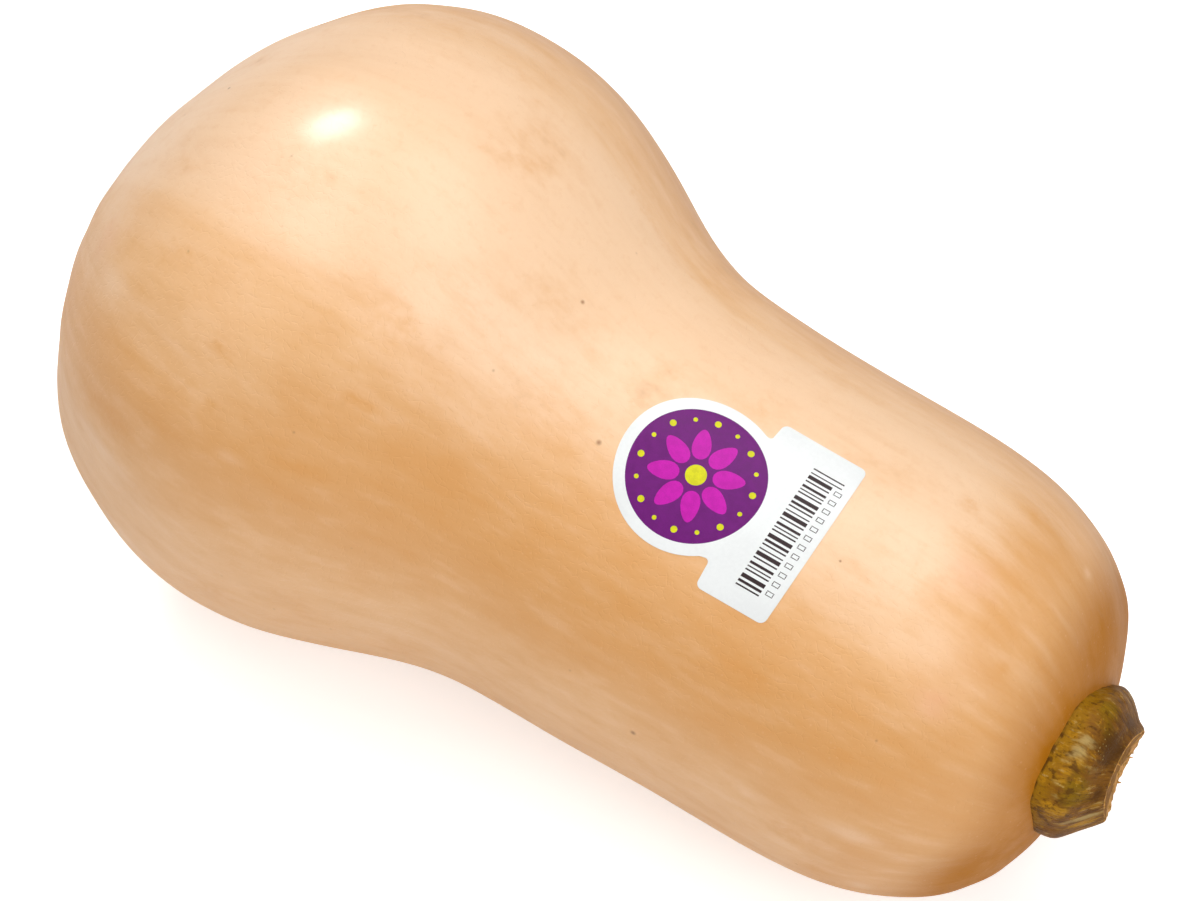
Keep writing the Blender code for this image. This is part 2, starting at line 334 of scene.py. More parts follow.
def new_piece(name, points, faces, slots, smooth_angle=40.0):
    """Mesh object from points in mm, riding on the squash's one body."""
    mesh = bpy.data.meshes.new(name)
    mesh.from_pydata([tuple(p) for p in points * MM], [], faces)
    mesh.update()
    for slot in slots:
        mesh.materials.append(slot)
    mesh.polygons.foreach_set("use_smooth", np.ones(len(mesh.polygons), bool))
    mesh.set_sharp_from_angle(angle=math.radians(smooth_angle))
    piece = bpy.data.objects.new(name, mesh)
    bpy.context.scene.collection.objects.link(piece)
    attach(piece, "root")
    return piece


def put_values(mesh, name, values):
    made = mesh.attributes.new(name, "FLOAT", "POINT")
    made.data.foreach_set("value", np.asarray(values, np.float32).ravel())


def put_vectors(mesh, name, vectors):
    made = mesh.attributes.new(name, "FLOAT_VECTOR", "POINT")
    made.data.foreach_set("vector", np.asarray(vectors, np.float32).ravel())


def grid_faces(rows, columns):
    """Quads of a grid that closes round its columns."""
    faces = []
    for row in range(rows - 1):
        for column in range(columns):
            nxt = (column + 1) % columns
            a = row * columns
            faces.append((a + column, a + nxt, a + columns + nxt, a + columns + column))
    return faces


def tip_faces(tip, first, columns, outward):
    faces = []
    for column in range(columns):
        nxt = (column + 1) % columns
        pair = (first + column, first + nxt) if outward else (first + nxt, first + column)
        faces.append((tip, *pair))
    return faces


# Shader helpers


class Tree:
    """Adds and links the nodes of a material or a node group."""

    def __init__(self, tree):
        self.tree = tree

    def add(self, kind, **settings):
        node = self.tree.nodes.new(kind)
        for name, value in settings.items():
            setattr(node, name, value)
        return node

    def link(self, source, target):
        self.tree.links.new(source, target)

    def feed(self, node, name, value):
        """Link a socket to an input, or set the input to a plain value."""
        socket = node.inputs[name]
        if isinstance(value, bpy.types.NodeSocket):
            self.link(value, socket)
        else:
            socket.default_value = value

    def fed(self, node, **values):
        """The node with these inputs fed, an underscore for each space in their names."""
        for name, value in values.items():
            self.feed(node, name.replace("_", " "), value)
        return node

    def value(self, name):
        """A value stored on the mesh's points."""
        return self.add("ShaderNodeAttribute", attribute_name=name).outputs["Fac"]

    def vector(self, name):
        """A vector stored on the mesh's points."""
        return self.add("ShaderNodeAttribute", attribute_name=name).outputs["Vector"]

    def math(self, operation, first, second, clamp=False):
        node = self.add("ShaderNodeMath", operation=operation, use_clamp=clamp)
        self.feed(node, 0, first)
        self.feed(node, 1, second)
        return node.outputs[0]

    def times(self, first, second, clamp=False):
        return self.math("MULTIPLY", first, second, clamp)

    def plus(self, first, second, clamp=False):
        return self.math("ADD", first, second, clamp)

    def minus(self, first, second):
        return self.math("SUBTRACT", first, second)

    def swing(self, value, share):
        """How far a noise lies from its middle, times a share."""
        return self.times(self.minus(value, 0.5), share)

    def scaled(self, vector, factors):
        node = self.add("ShaderNodeVectorMath", operation="MULTIPLY")
        self.feed(node, 0, vector)
        node.inputs[1].default_value = factors
        return node.outputs[0]

    def noise(self, vector, scale, detail=3.0, roughness=0.5):
        node = self.add("ShaderNodeTexNoise")
        return self.fed(node, Vector=vector, Scale=scale, Detail=detail, Roughness=roughness).outputs["Fac"]

    def ramp(self, value, low, high):
        """Smooth step of a value from 0 at low to 1 at high."""
        node = self.add("ShaderNodeMapRange", interpolation_type="SMOOTHSTEP")
        return self.fed(node, Value=value, From_Min=low, From_Max=high).outputs["Result"]

    def mix(self, factor, first, second):
        node = self.add("ShaderNodeMix", data_type="RGBA")
        self.feed(node, "Factor", factor)
        for name, value in (("A", first), ("B", second)):
            socket = next(s for s in node.inputs if s.name == name and s.type == "RGBA")
            if isinstance(value, bpy.types.NodeSocket):
                self.link(value, socket)
            else:
                socket.default_value = (*value, 1.0)
        return next(s for s in node.outputs if s.type == "RGBA")

    def over(self, colour, mask, share, other):
        """A colour with another laid over it where the mask is, up to a share."""
        return self.mix(self.times(mask, share), colour, other)

    def group(self, group, **values):
        """The first output of a node group placed with these inputs."""
        return self.fed(self.add("ShaderNodeGroup", node_tree=group), **values).outputs[0]

    def mottle(self, vector, broad, fine, share):
        """Uneven tone round 0.5, from a broad and a fine scale."""
        scales = {"Broad_Scale": broad, "Fine_Scale": fine}
        return self.group(mottle_group(), Vector=vector, Fine_Share=share, **scales)

    def pores(self, vector, scale, size, share):
        """Mask of scattered pits."""
        return self.group(pores_group(), Vector=vector, Scale=scale, Size=size, Share=share)

    def bump(self, height, distance, strength):
        node = self.add("ShaderNodeBump")
        return self.fed(node, Height=height, Distance=distance, Strength=strength).outputs["Normal"]


FLOAT, VECTOR = "NodeSocketFloat", "NodeSocketVector"


def new_group(name, inputs, output):
    """Empty shader node group with named inputs and one value put out."""
    tree = bpy.data.node_groups.new(name, "ShaderNodeTree")
    for label, kind, default in inputs:
        socket = tree.interface.new_socket(name=label, in_out="INPUT", socket_type=kind)
        if default is not None:
            socket.default_value = default
    tree.interface.new_socket(name=output, in_out="OUTPUT", socket_type=FLOAT)
    given = tree.nodes.new("NodeGroupInput").outputs
    put = tree.nodes.new("NodeGroupOutput").inputs[output]
    return Tree(tree), given, put


def pores_group():
    """Scattered small pits: a mask that is 1 in each pit, for skin and cork."""
    if "Pores" in bpy.data.node_groups:
        return bpy.data.node_groups["Pores"]
    amounts = (("Scale", FLOAT, 400.0), ("Size", FLOAT, 0.2), ("Share", FLOAT, 0.3))
    t, given, put = new_group("Pores", (("Vector", VECTOR, None), *amounts), "Mask")
    cells = t.fed(t.add("ShaderNodeTexVoronoi"), Vector=given["Vector"], Scale=given["Scale"])
    pit = t.ramp(cells.outputs["Distance"], given["Size"], 0.0)
    lot = t.add("ShaderNodeSeparateColor")
    t.link(cells.outputs["Color"], lot.inputs["Color"])
    t.link(t.times(pit, t.math("LESS_THAN", lot.outputs["Red"], given["Share"])), put)
    return t.tree


def mottle_group():
    """Uneven tone: a broad and a fine noise mixed to one value round 0.5."""
    if "Mottle" in bpy.data.node_groups:
        return bpy.data.node_groups["Mottle"]
    scales = (("Broad Scale", FLOAT, 40.0), ("Fine Scale", FLOAT, 400.0))
    inputs = (("Vector", VECTOR, None), *scales, ("Fine Share", FLOAT, 0.3))
    t, given, put = new_group("Mottle", inputs, "Value")
    broad = t.noise(given["Vector"], given["Broad Scale"], 4.0)
    fine = t.noise(given["Vector"], given["Fine Scale"], 2.0)
    t.link(t.plus(broad, t.swing(fine, given["Fine Share"])), put)
    return t.tree


def spot_group():
    """Round spot at a point: a mask that fades at the edge of its radius."""
    if "Spot" in bpy.data.node_groups:
        return bpy.data.node_groups["Spot"]
    inputs = (("Place", VECTOR, None), ("Middle", VECTOR, None), ("Radius", FLOAT, 0.001))
    t, given, put = new_group("Spot", inputs, "Mask")
    away = t.add("ShaderNodeVectorMath", operation="DISTANCE")
    t.link(given["Place"], away.inputs[0])
    t.link(given["Middle"], away.inputs[1])
    t.link(t.ramp(away.outputs["Value"], given["Radius"], 0.0), put)
    return t.tree


def new_material(name, **plain):
    """New material, its tree and its shader, with the shader's plain values set."""
    mat = bpy.data.materials.new(name)
    mat.use_nodes = True
    shader = mat.node_tree.nodes["Principled BSDF"]
    for label, value in plain.items():
        shader.inputs[label.replace("_", " ")].default_value = value
    return mat, Tree(mat.node_tree), shader.inputs


# Fruit

# Marks on the skin: axis distance (mm), angle (degrees), length and width (mm), strength.
WARM_PATCHES = (
    (66.0, 97.0, 17.0, 5.0, 0.35),
    (71.0, 80.5, 11.0, 5.0, 0.32),
    (72.0, 119.0, 12.0, 8.0, 0.38),
    (87.0, 60.5, 8.0, 5.0, 0.45),
    (29.0, 127.5, 8.0, 6.0, 0.40),
    (45.0, 137.5, 9.0, 2.2, 0.75),
    (71.0, 133.5, 6.0, 1.8, 0.75),
    (51.0, 134.0, 7.0, 2.0, 0.40),
    (14.5, 149.0, 7.0, 5.0, 0.35),
    (28.0, 163.0, 13.0, 5.0, 0.75),
    (66.0, 150.0, 9.0, 3.0, 0.50),
    (48.0, 147.0, 2.5, 1.8, 0.70),
    (98.0, 157.5, 4.0, 3.0, 0.50),
    (60.0, 189.0, 10.0, 6.0, 0.50),
    (151.0, 141.0, 10.0, 4.0, 0.75),
    (108.0, 140.0, 9.0, 4.5, 0.60),
    (173.0, 147.5, 4.5, 2.4, 0.75),
    (171.0, 179.5, 9.0, 5.0, 0.65),
    (167.0, 76.0, 4.0, 3.0, 0.60),
    (177.0, 64.0, 9.0, 6.0, 0.45),
    (177.0, 191.0, 4.0, 3.0, 0.60),
    (188.0, 107.0, 1.8, 1.8, 0.80),
)
PALE_PATCHES_AND_EDGE_SHEEN = (
    (49.0, 82.0, 11.0, 3.5, 0.70),
    (31.0, 106.0, 11.0, 3.2, 0.75),
    (46.0, 108.0, 6.0, 2.5, 0.50),
    (69.5, 125.5, 9.0, 1.4, 0.45),
    (76.0, 118.0, 8.0, 3.0, 0.10),
    (20.0, 140.0, 6.0, 4.0, 0.80),
    (36.0, 141.5, 10.0, 1.8, 0.55),
    (55.0, 153.5, 6.0, 2.4, 0.55),
    # The streak at 30 mm and 172 degrees paints the sheen along the lower left edge: painted sheen.
    (30.0, 172.0, 13.0, 3.0, 0.80),
    (38.0, 193.0, 10.0, 4.0, 0.80),
    (176.0, 113.0, 8.0, 6.0, 0.70),
    (165.0, 67.5, 4.0, 3.5, 0.50),
    (161.0, 172.0, 6.0, 3.0, 0.50),
    (181.0, 168.0, 9.0, 3.0, 0.70),
    (124.0, 178.0, 9.0, 8.0, 0.40),
    (190.0, 62.0, 2.0, 2.5, 0.70),
    (185.0, 195.0, 4.0, 5.0, 0.60),
)
BLUSH_PATCHES = (
    (175.0, 92.0, 10.0, 8.0, 0.70),
    (182.0, 125.0, 5.0, 6.0, 0.60),
    (70.0, 96.0, 14.0, 6.0, 0.30),
    (96.0, 60.0, 12.0, 8.0, 0.25),
    (12.0, 132.0, 6.0, 8.0, 0.50),
)
SCUFFS = ((178.0, 115.0, 9.0, 7.0, 1.0), (69.5, 125.5, 12.0, 4.0, 0.7))
SKIN_MARKS = {
    "skin_warm": WARM_PATCHES,
    "skin_pale_and_edge_sheen": PALE_PATCHES_AND_EDGE_SHEEN,
    "skin_blush": BLUSH_PATCHES,
    "skin_scuff": SCUFFS,
}
# Specks: axis distance (mm), angle (degrees), radius (mm).
SPECKS = (
    (108.3, 113.3, 0.75),
    (92.0, 92.0, 0.6),
    (43.0, 114.3, 0.5),
    (48.5, 114.7, 0.4),
    (41.5, 112.0, 0.35),
    (15.5, 86.5, 0.5),
    (155.0, 107.5, 0.4),
    (138.0, 174.0, 0.8),
)


def off_angle(angle, middle):
    """Signed turn in radians from a middle angle in degrees."""
    return (angle - math.radians(middle) + math.pi) % (2.0 * math.pi) - math.pi


def mark_sum(along, angle, reach, marks, fade):
    """Soft marks summed over a surface: near 1 in the middle of a strong mark.

    Reach turns an angle into the unit of the marks' widths: the radius for mm, or the degrees in a radian.
    """
    total = np.zeros_like(along)
    for middle, turn, length, width, strength in marks:
        off = ((along - middle) / length) ** 2 + (off_angle(angle, turn) * reach / width) ** 2
        total += strength * np.exp(-fade * off)
    return total


def skin_material():
    mat, t, shader = new_material(
        "squash_skin", Specular_IOR_Level=0.25, Coat_IOR=1.40, Coat_Roughness=0.20
    )
    c = colours()
    place = t.vector("skin_place")
    turn = t.vector("skin_turn")

    broad_streaks = t.noise(t.scaled(turn, (1.8, 6.5, 6.5)), 1.0, 3.0, 0.55)
    thin_streaks = t.noise(t.scaled(turn, (5.0, 26.0, 26.0)), 1.0, 3.0, 0.55)
    bands = t.noise(t.scaled(turn, (4.6, 7.0, 7.0)), 1.6, 5.0, 0.60)
    blotches = t.mottle(t.scaled(place, (0.7, 1.0, 1.0)), 75.0, 420.0, 0.35)
    freckles = t.mottle(place, 520.0, 1400.0, 0.3)
    ragged = t.swing(blotches, 0.9)
    dotted = t.swing(freckles, 1.1)

    # Painted sheen: the top side of the skin is made paler where the key light falls on it.
    top = t.plus(t.value("skin_top_sheen"), t.swing(broad_streaks, 1.1))
    colour = t.mix(t.ramp(top, 0.0, 1.0), c.skin_peach, c.skin_pale_and_sheen)
    # Painted shade on the sides and the low side, where the skin turns from the light.
    shade_and_warmth = t.value("skin_side_shade_and_warmth")
    low = t.plus(shade_and_warmth, t.swing(bands, 0.8))
    colour = t.mix(t.ramp(low, 0.0, 1.15), colour, c.skin_side_shade_and_warmth)
    band_share = t.plus(0.05, t.times(shade_and_warmth, 0.22))
    colour = t.over(colour, t.ramp(bands, 0.50, 0.66), band_share, c.skin_orange)
    colour = t.over(colour, t.ramp(bands, 0.48, 0.34), 0.11, c.skin_pale_and_sheen)
    colour = t.over(colour, t.ramp(thin_streaks, 0.46, 0.74), 0.07, c.skin_orange)
    colour = t.over(colour, t.ramp(blotches, 0.50, 0.80), 0.26, c.skin_orange)
    colour = t.over(colour, t.ramp(freckles, 0.52, 0.74), 0.10, c.skin_orange)

    blush = t.ramp(t.plus(t.value("skin_blush"), ragged), 0.15, 1.1)
    colour = t.over(colour, blush, 0.6, c.skin_blush)
    warm = t.value("skin_warm")
    warm = t.plus(t.plus(warm, ragged), t.times(dotted, warm))
    colour = t.over(colour, t.ramp(warm, 0.15, 1.0), 0.75, c.skin_orange)
    tan_edge = t.plus(t.swing(broad_streaks, 0.5), t.times(ragged, 0.3))
    tan = t.times(t.value("skin_tan"), t.plus(1.0, tan_edge), clamp=True)
    colour = t.mix(tan, colour, c.skin_tan)
    # Pale patches, one of them a painted sheen along the lower left edge.
    pale = t.ramp(t.plus(t.value("skin_pale_and_edge_sheen"), ragged), 0.1, 1.0)
    colour = t.over(colour, pale, 0.55, c.skin_pale_and_sheen)

    light_pores = t.pores(place, 900.0, 0.30, 0.22)
    colour = t.over(colour, light_pores, 0.14, c.skin_pale_and_sheen)
    colour = t.over(colour, t.pores(place, 300.0, 0.13, 0.05), 0.40, c.speck)
    for along, angle, radius in SPECKS:
        girth, lean = outline_near(along)
        turned_by = math.radians(angle)
        middle = Vector((along, girth * math.cos(turned_by) + lean, girth * math.sin(turned_by))) * MM
        mask = t.group(spot_group(), Place=place, Middle=middle, Radius=radius * MM)
        colour = t.over(colour, mask, 0.75, c.speck)
    scar = t.ramp(t.plus(t.value("skin_scar"), t.times(ragged, 1.6)), 0.25, 0.95)
    corky = t.mix(t.ramp(freckles, 0.42, 0.62), c.speck, c.scar)
    colour = t.over(colour, scar, 0.9, corky)
    t.link(colour, shader["Base Color"])

    rough = t.plus(0.34, t.times(blotches, 0.18))
    rough = t.plus(rough, t.times(t.value("skin_scuff"), 0.12))
    t.link(t.plus(rough, t.times(tan, 0.15), clamp=True), shader["Roughness"])
    # The wax shines least on the tan crown and where the skin turns away from the eye.
    edge = t.add("ShaderNodeLayerWeight")
    edge.inputs["Blend"].default_value = 0.5
    waxy = t.minus(1.0, t.times(tan, 0.9))
    waxy = t.times(waxy, t.minus(1.0, t.ramp(edge.outputs["Facing"], 0.45, 0.95)))
    t.link(t.times(waxy, 0.50), shader["Coat Weight"])
    grain = t.noise(place, 1100.0, 3.0)
    peel = t.noise(place, 300.0, 2.0)
    cracks = t.add("ShaderNodeTexVoronoi", feature="DISTANCE_TO_EDGE")
    t.fed(cracks, Vector=place, Scale=620.0, Randomness=1.0)
    split = t.times(t.ramp(cracks.outputs["Distance"], 0.10, 0.0), t.ramp(grain, 0.46, 0.58))
    height = t.plus(t.times(grain, 0.30), peel)
    height = t.minus(height, t.times(light_pores, 0.25))
    height = t.minus(height, t.times(split, 0.6))
    t.link(t.bump(height, 0.1 * MM, 0.55), shader["Normal"])
    return mat


FRUIT_COLUMNS = 300
FRUIT_ROWS = 290
# Spline parameters of the first rings, close together round the blossom scar.
SCAR_RINGS = (0.03, 0.06, 0.1, 0.15, 0.2, 0.26)
TOP_ANGLE = 88.0
CROWN_START = 190.0
# Even levels of the painted side shade and the painted top sheen at the very ends of the fruit.
END_SHADE_AND_WARMTH, END_TOP_SHEEN = 0.45, 0.35


def side_shade_and_warmth(along, side):
    """How far the skin gets painted shade, a warmer and darker tone where the sides turn from the light and
    on the low side, and its own warmer tone toward the crown; angles in degrees.
    """
    later = 9.0 * (1.0 - smoothstep(20.0, 60.0, along))
    near = smoothstep(92.0, 152.0, side - later) * (1.0 - 0.7 * smoothstep(150.0, 180.0, side))
    near *= 1.0 - 0.6 * (1.0 - smoothstep(45.0, 90.0, along)) * (1.0 - smoothstep(142.0, 158.0, side))
    under = (side + 180.0) % 360.0 - 180.0
    far = (1.0 - smoothstep(30.0, 68.0, under)) * (0.3 + 0.7 * smoothstep(-110.0, -30.0, under))
    low = np.where(under > TOP_ANGLE, near, far)
    return np.maximum(low, 0.75 * smoothstep(160.0, 184.0, along))


class SQUASH_OT_make_fruit(bpy.types.Operator):
    """Make the fruit's skin with its lobes, scar, marks and rest flats"""

    bl_idname = "squash.make_fruit"
    bl_label = "Make fruit"

    def execute(self, context):
        columns = FRUIT_COLUMNS
        t = np.concatenate([SCAR_RINGS, np.linspace(0.32, LAST - 0.12, FRUIT_ROWS), [LAST - 0.06]])
        angle = FIRST_VALLEY + np.linspace(0.0, 2.0 * math.pi, columns, endpoint=False)
        grid = fruit_points(t, angle)
        flat = grid.reshape(-1, 3)
        tips = np.vstack([fruit_points(np.array([end]), angle[:1])[0] for end in (0.0, LAST - 1e-6)])

        inward = np.gradient(grid, axis=0)
        around = np.roll(grid, -1, axis=1) - np.roll(grid, 1, axis=1)
        normal = np.cross(around, inward)
        normal /= np.linalg.norm(normal, axis=-1, keepdims=True) + 1e-12
        centre = grid * np.array((1.0, 0.0, 0.0))
        normal *= np.sign(((grid - centre) * normal).sum(axis=-1).mean())
        moved = flat + normal.reshape(-1, 3) * skin_relief(flat)[:, None]
        world = turned(np.vstack([moved, tips])) + plain_shift()
        world[:, 2] = np.maximum(world[:, 2], 0.0)

        rows = len(t)
        faces = grid_faces(rows, columns)
        first_tip = rows * columns
        faces += tip_faces(first_tip, 0, columns, True)
        faces += tip_faces(first_tip + 1, (rows - 1) * columns, columns, False)
        piece = new_piece("fruit_skin", world, faces, [skin_material()], 60.0)
        self.mark(piece.data, np.vstack([flat, tips]), t, angle)
        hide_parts("fruit")
        return {"FINISHED"}

    def mark(self, mesh, own, t, angle):
        """Store where each skin point lies and how its marks, its painted shade and its painted sheen
        colour it.
        """
        along, radius, _ = outline_at(t)
        columns = len(angle)
        along = np.append(np.repeat(along, columns), (0.0, 206.0))
        radius = np.append(np.repeat(radius, columns), (0.0, 0.0))
        turn = np.append(np.tile(angle, len(t)), (0.0, 0.0))
        side = np.degrees(turn) % 360.0
        put_vectors(mesh, "skin_place", own * MM)
        # Streaks run together toward both ends.
        narrow = np.minimum(radius / 26.0, 1.0)
        streaks = np.stack([along / 100.0, narrow * np.cos(turn), narrow * np.sin(turn)], axis=-1)
        put_vectors(mesh, "skin_turn", streaks)
        for name, marks in SKIN_MARKS.items():
            put_values(mesh, name, mark_sum(along, turn, radius, marks, 2.0))
        blossom_reach = radius + 1000.0 * (along > 60.0)
        open_end = np.maximum(smoothstep(4.0, 34.0, radius), along > 60.0)
        # Painted shade for the sides and the low side, with the real warmer tone near the crown.
        low = side_shade_and_warmth(along, side)
        put_values(mesh, "skin_side_shade_and_warmth", END_SHADE_AND_WARMTH + (low - END_SHADE_AND_WARMTH) * open_end)
        # Painted sheen: a paler band along the top side, where the light falls.
        off_top = np.abs(off_angle(turn, TOP_ANGLE))
        top_sheen = 1.0 - smoothstep(math.radians(12.0), math.radians(48.0), off_top)
        top_sheen = END_TOP_SHEEN + (top_sheen - END_TOP_SHEEN) * open_end
        put_values(mesh, "skin_top_sheen", top_sheen * (1.0 - 0.6 * smoothstep(160.0, 186.0, along)))
        crown_edge = CROWN_START + 5.0 * np.cos(turn - math.radians(130.0)) ** 2
        crown_edge += 4.0 * np.exp(-((side - 155.0) / 20.0) ** 2)
        crown = smoothstep(-5.0, 8.0, along - crown_edge) * (along > 150.0)
        blossom = 1.0 - smoothstep(4.0, 26.0, blossom_reach)
        put_values(mesh, "skin_tan", np.maximum(0.95 * crown, 0.35 * blossom))
        put_values(mesh, "skin_scar", 1.0 - smoothstep(1.5, 7.5, blossom_reach))


# Stem

# Marks on the stem: axis distance (mm), ring angle (degrees), length (mm), width (degrees), strength.
STEM_OLIVE = (
    (208.5, 112.0, 3.6, 22.0, 1.0),
    (207.0, 48.0, 2.6, 12.0, 0.8),
    (209.5, 62.0, 3.0, 8.0, 0.5),
    (209.0, 250.0, 4.0, 40.0, 0.6),
)
STEM_PALE_AND_HIGHLIGHT = (
    # The two marks at 77 and 87 degrees are partly pale cork and partly a painted highlight where the light
    # shines on the stem.
    (206.2, 77.0, 2.4, 5.0, 0.8),
    (206.4, 87.0, 2.2, 6.0, 0.85),
    (205.2, 96.0, 1.6, 4.0, 0.5),
    (205.4, 113.0, 1.8, 4.0, 0.6),
    (206.4, 122.0, 1.4, 5.0, 0.55),
    (210.2, 97.0, 2.6, 14.0, 0.45),
    (211.9, 148.0, 2.4, 5.5, 1.3),
    (209.4, 151.0, 1.6, 4.0, 0.8),
    (206.6, 160.0, 2.2, 8.0, 0.25),
    (207.0, 300.0, 3.0, 20.0, 0.5),
)
STEM_DARK = (
    (211.6, 70.0, 3.2, 24.0, 1.2),
    (211.5, 32.0, 3.0, 18.0, 0.8),
    (212.8, 116.0, 0.9, 16.0, 0.7),
    (206.5, 8.0, 4.0, 14.0, 0.5),
    (209.2, 142.0, 1.4, 7.0, 0.35),
    (210.0, 215.0, 4.0, 26.0, 0.5),
)
STEM_DOTS = (
    (211.0, 72.0, 3.0, 24.0, 1.0),
    (206.0, 140.0, 2.0, 8.0, 0.5),
)
STEM_GOLD = (
    (206.0, 105.0, 2.2, 12.0, 0.7),
    (205.6, 132.0, 2.0, 9.0, 0.9),
    (208.6, 133.0, 2.4, 7.0, 0.8),
    (211.5, 161.0, 1.8, 6.0, 1.2),
    (207.5, 90.0, 2.0, 9.0, 0.45),
    (206.8, 148.0, 2.0, 8.0, 0.5),
    (206.0, 270.0, 3.0, 40.0, 0.5),
)
STEM_MARKS = {
    "stem_olive": STEM_OLIVE,
    "stem_pale_and_highlight": STEM_PALE_AND_HIGHLIGHT,
    "stem_dark": STEM_DARK,
    "stem_gold": STEM_GOLD,
    "stem_dots": STEM_DOTS,
}
# Rings of the cut end, as shares of its rim.
CUT_SHARES = (0.97, 0.90, 0.80, 0.66, 0.5, 0.34, 0.18, 0.07)


def cork_material():
    mat, t, shader = new_material("stem_cork", Specular_IOR_Level=0.12)
    c = colours()
    place = t.vector("stem_place")
    turn = t.vector("stem_turn")
    streak = t.noise(t.scaled(turn, (0.22, 1.1, 1.1)), 1.0, 4.0, 0.62)
    wavy = t.add("ShaderNodeVectorMath", operation="ADD")
    t.link(t.scaled(turn, (0.55, 2.4, 2.4)), wavy.inputs[0])
    t.link(t.swing(t.noise(place, 300.0, 2.0), 1.6), wavy.inputs[1])
    fine = t.noise(wavy.outputs[0], 1.0, 3.0, 0.6)
    flames = t.noise(t.scaled(wavy.outputs[0], (0.9, 0.26, 0.26)), 1.0, 4.0, 0.62)
    patches = t.mottle(t.scaled(place, (0.6, 1.0, 1.0)), 230.0, 1200.0, 0.5)
    uneven = t.times(t.minus(t.plus(streak, patches), 1.0), 1.3)

    def marked(name, low, high):
        return t.ramp(t.plus(t.value(name), uneven), low, high)

    foot = t.times(t.minus(0.34, t.value("stem_rise")), 3.0)
    colour = t.mix(t.ramp(t.plus(foot, uneven), -0.3, 0.9), c.stem_brown, c.stem_foot)
    colour = t.mix(marked("stem_olive", 0.15, 0.95), colour, c.stem_olive)
    colour = t.over(colour, marked("stem_gold", 0.25, 0.8), 0.85, c.stem_gold)
    shade = marked("stem_dark", 0.15, 0.9)
    colour = t.over(colour, shade, 0.9, c.stem_dark)
    colour = t.over(colour, t.ramp(flames, 0.47, 0.36), 0.75, c.stem_dark)
    lit = t.minus(1.0, shade)
    colour = t.over(colour, t.times(t.ramp(flames, 0.55, 0.66), 0.50), lit, c.stem_gold)
    thin = t.times(t.times(t.ramp(streak, 0.50, 0.62), t.ramp(flames, 0.52, 0.64)), lit)
    colour = t.over(colour, thin, 0.60, c.stem_pale_and_highlight)
    lines = t.times(t.ramp(fine, 0.50, 0.38), t.ramp(patches, 0.40, 0.58))
    colour = t.over(colour, lines, 0.35, c.stem_dark)
    # Pale cork marks, two of them partly a painted highlight.
    colour = t.over(colour, marked("stem_pale_and_highlight", 0.25, 1.0), 0.75, c.stem_pale_and_highlight)
    pores = t.pores(place, 1300.0, 0.34, 0.3)
    colour = t.over(colour, pores, 0.5, c.stem_dark)
    dots = t.pores(t.scaled(place, (1.0, 1.1, 0.9)), 1500.0, 0.30, 0.30)
    colour = t.over(colour, dots, t.ramp(t.value("stem_dots"), 0.1, 0.6), c.stem_pale_and_highlight)
    # Painted shade: a dark line in the crease where the stem's foot meets the crown.
    foot_shade = t.ramp(t.value("stem_clear"), 0.6, 0.1)
    foot_shade = t.times(foot_shade, t.ramp(t.noise(place, 420.0, 3.0), 0.38, 0.60))
    colour = t.over(colour, foot_shade, 0.85, c.stem_dark)
    t.link(colour, shader["Base Color"])
    t.link(t.plus(0.36, t.times(patches, 0.3)), shader["Roughness"])
    height = t.plus(t.times(streak, 0.8), t.times(fine, 0.5))
    height = t.plus(height, t.times(t.noise(place, 1500.0, 3.0), 0.4))
    height = t.minus(height, t.times(pores, 0.5))
    t.link(t.bump(height, 0.4 * MM, 0.8), shader["Normal"])
    return mat


def cut_material():
    mat, t, shader = new_material("stem_cut_wood", Specular_IOR_Level=0.20)
    c = colours()
    place = t.vector("stem_place")
    fibres = t.noise(t.scaled(place, (0.25, 1.0, 1.0)), 1100.0, 4.0, 0.65)
    patches = t.mottle(place, 260.0, 1500.0, 0.5)
    colour = t.mix(t.ramp(fibres, 0.30, 0.60), c.stem_foot, c.stem_cut)
    colour = t.over(colour, t.ramp(patches, 0.58, 0.76), 0.5, c.stem_dark)
    near = t.plus(t.value("stem_near"), t.minus(fibres, 0.5))
    colour = t.over(colour, t.ramp(near, 0.3, 0.9), 0.8, c.stem_brown)
    t.link(colour, shader["Base Color"])
    t.link(t.plus(0.6, t.times(patches, 0.3), clamp=True), shader["Roughness"])
    t.link(t.bump(fibres, 0.6 * MM, 0.9), shader["Normal"])
    return mat


def smooth_rows(stations, count):
    """Rows between the stations along a smooth curve through them."""
    last = len(stations) - 1
    padded = np.vstack([2.0 * stations[0] - stations[1], stations, 2.0 * stations[-1] - stations[-2]])
    t = np.linspace(0.0, last, count)
    span = np.minimum(t.astype(int), last - 1)
    f = (t - span)[:, None]
    a, b, c, d = (padded[span + k] for k in range(4))
    squared = (2.0 * a - 5.0 * b + 4.0 * c - d) * f ** 2
    cubed = (3.0 * b - a - 3.0 * c + d) * f ** 3
    return 0.5 * (2.0 * b + (c - a) * f + squared + cubed)


def rotation(axis, angle):
    """Rotation matrices about one axis for an array of angles."""
    k = np.array(((0.0, -axis[2], axis[1]), (axis[2], 0.0, -axis[0]), (-axis[1], axis[0], 0.0)))
    s = np.sin(angle)[:, None, None]
    c = np.cos(angle)[:, None, None]
    return np.eye(3) + s * k + (1.0 - c) * (k @ k)


STEM_COLUMNS = 160
STEM_ROWS = 70
STEM_GIRTH = 14.0
STEM_FOOT_AT = 203.0
STEM_TIP_AT = 213.5
STEM_RISE = 11.0
ALONG = np.array((1.0, 0.0, 0.0))


